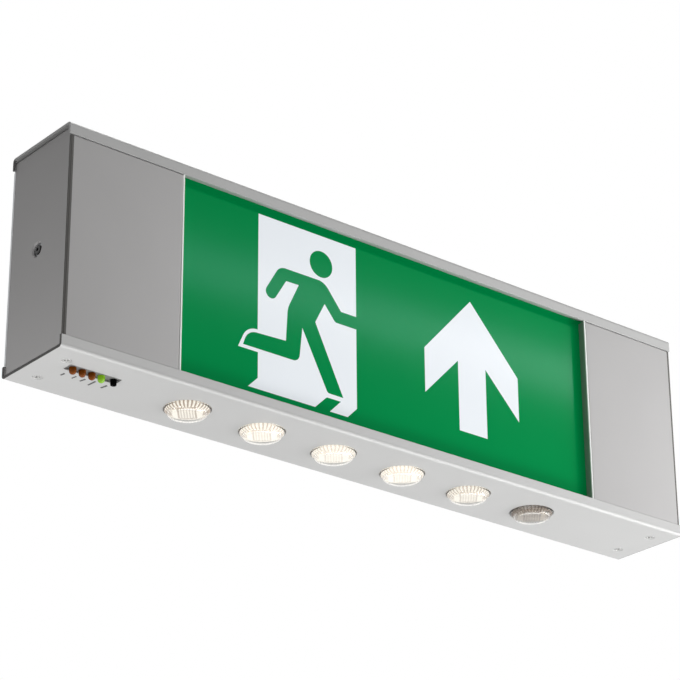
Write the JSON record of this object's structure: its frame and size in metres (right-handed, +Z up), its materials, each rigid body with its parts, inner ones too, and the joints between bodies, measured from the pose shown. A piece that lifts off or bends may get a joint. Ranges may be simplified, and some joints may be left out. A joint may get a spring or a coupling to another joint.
{
  "type": "emergency exit light",
  "caption": "Wall-mounted emergency exit light: aluminium rail body with a recessed green pictogram pane, a row of downward lenses, indicator lamps and a sprung test button.",
  "frame": {"origin": "middle of the back face that meets the wall", "axes": "+X along the light to the reader's right, +Y into the wall, +Z up"},
  "size_m": [0.58, 0.0715, 0.1728],
  "materials": {
    "rail_aluminium": "satin anodised, fine drawn grain along the rail",
    "panel_aluminium": "satin anodised sheet",
    "zinc_steel": "zinc plated sheet",
    "screw_steel": "bright zinc",
    "black_steel": "black oxide",
    "carrier_aluminium": "mill finish",
    "sign_print": "gloss pane printed green with white symbols",
    "guide_acrylic": "clear acrylic",
    "reflector_white": "matt white film",
    "board_white": "white solder mask",
    "board_green": "green solder mask",
    "lens_clear": "clear moulded optic",
    "bezel_grey": "moulded, fine texture",
    "lamp_amber": "tinted resin",
    "lamp_green": "tinted resin, lit",
    "button_black": "moulded",
    "battery_wrap": "shrink film",
    "gear_plastic": "moulded",
    "grommet_rubber": "matt",
    "lead_jacket": "insulated lead"
  },
  "bodies": {
    "housing": {"top_rail": "rail_aluminium", "bottom_rail": "rail_aluminium", "left_end_plate": "panel_aluminium", "right_end_plate": "panel_aluminium", "left_blank_panel": "panel_aluminium", "right_blank_panel": "panel_aluminium", "back_plate": "zinc_steel", "sign_pane": "sign_print", "light_guide": "guide_acrylic", "reflector_sheet": "reflector_white", "sign_led_strip": "board_white", "lens_1": "lens_clear", "lens_2": "lens_clear", "lens_3": "lens_clear", "lens_4": "lens_clear", "lens_5": "lens_clear", "lens_6": "lens_clear", "led_board_1": "board_white", "led_board_2": "board_white", "led_board_3": "board_white", "led_board_4": "board_white", "led_board_5": "board_white", "led_board_6": "board_white", "led_carrier": "carrier_aluminium", "indicator_bezel": "bezel_grey", "indicator_board": "board_green", "amber_lamp_1": "lamp_amber", "amber_lamp_2": "lamp_amber", "amber_lamp_3": "lamp_amber", "green_lamp": "lamp_green", "test_switch": "button_black", "gear_tray": "zinc_steel", "battery_pack": "battery_wrap", "battery_clip_left": "screw_steel", "battery_clip_right": "screw_steel", "control_gear": "gear_plastic", "terminal_block": "gear_plastic", "cable_grommet": "grommet_rubber", "bottom_screw_1": "screw_steel", "bottom_screw_2": "screw_steel", "bottom_screw_3": "screw_steel", "bottom_screw_4": "screw_steel", "top_screw_1": "screw_steel", "top_screw_2": "screw_steel", "top_screw_3": "screw_steel", "top_screw_4": "screw_steel", "lock_screw_left": "black_steel", "lock_screw_right": "black_steel", "mains_lead": "lead_jacket", "battery_lead": "lead_jacket", "lens_lead": "lead_jacket", "indicator_lead": "lead_jacket", "sign_lead": "lead_jacket"},
    "button": {"test_button": "button_black"}
  },
  "joints": [
    {"name": "test_button_press", "type": "slide", "parent": "housing", "child": "button", "axis": [0, 0, 1], "range_m": [0, 0.0008], "stiffness_N_per_m": 1200, "springref_m": -0.0008}
  ]
}
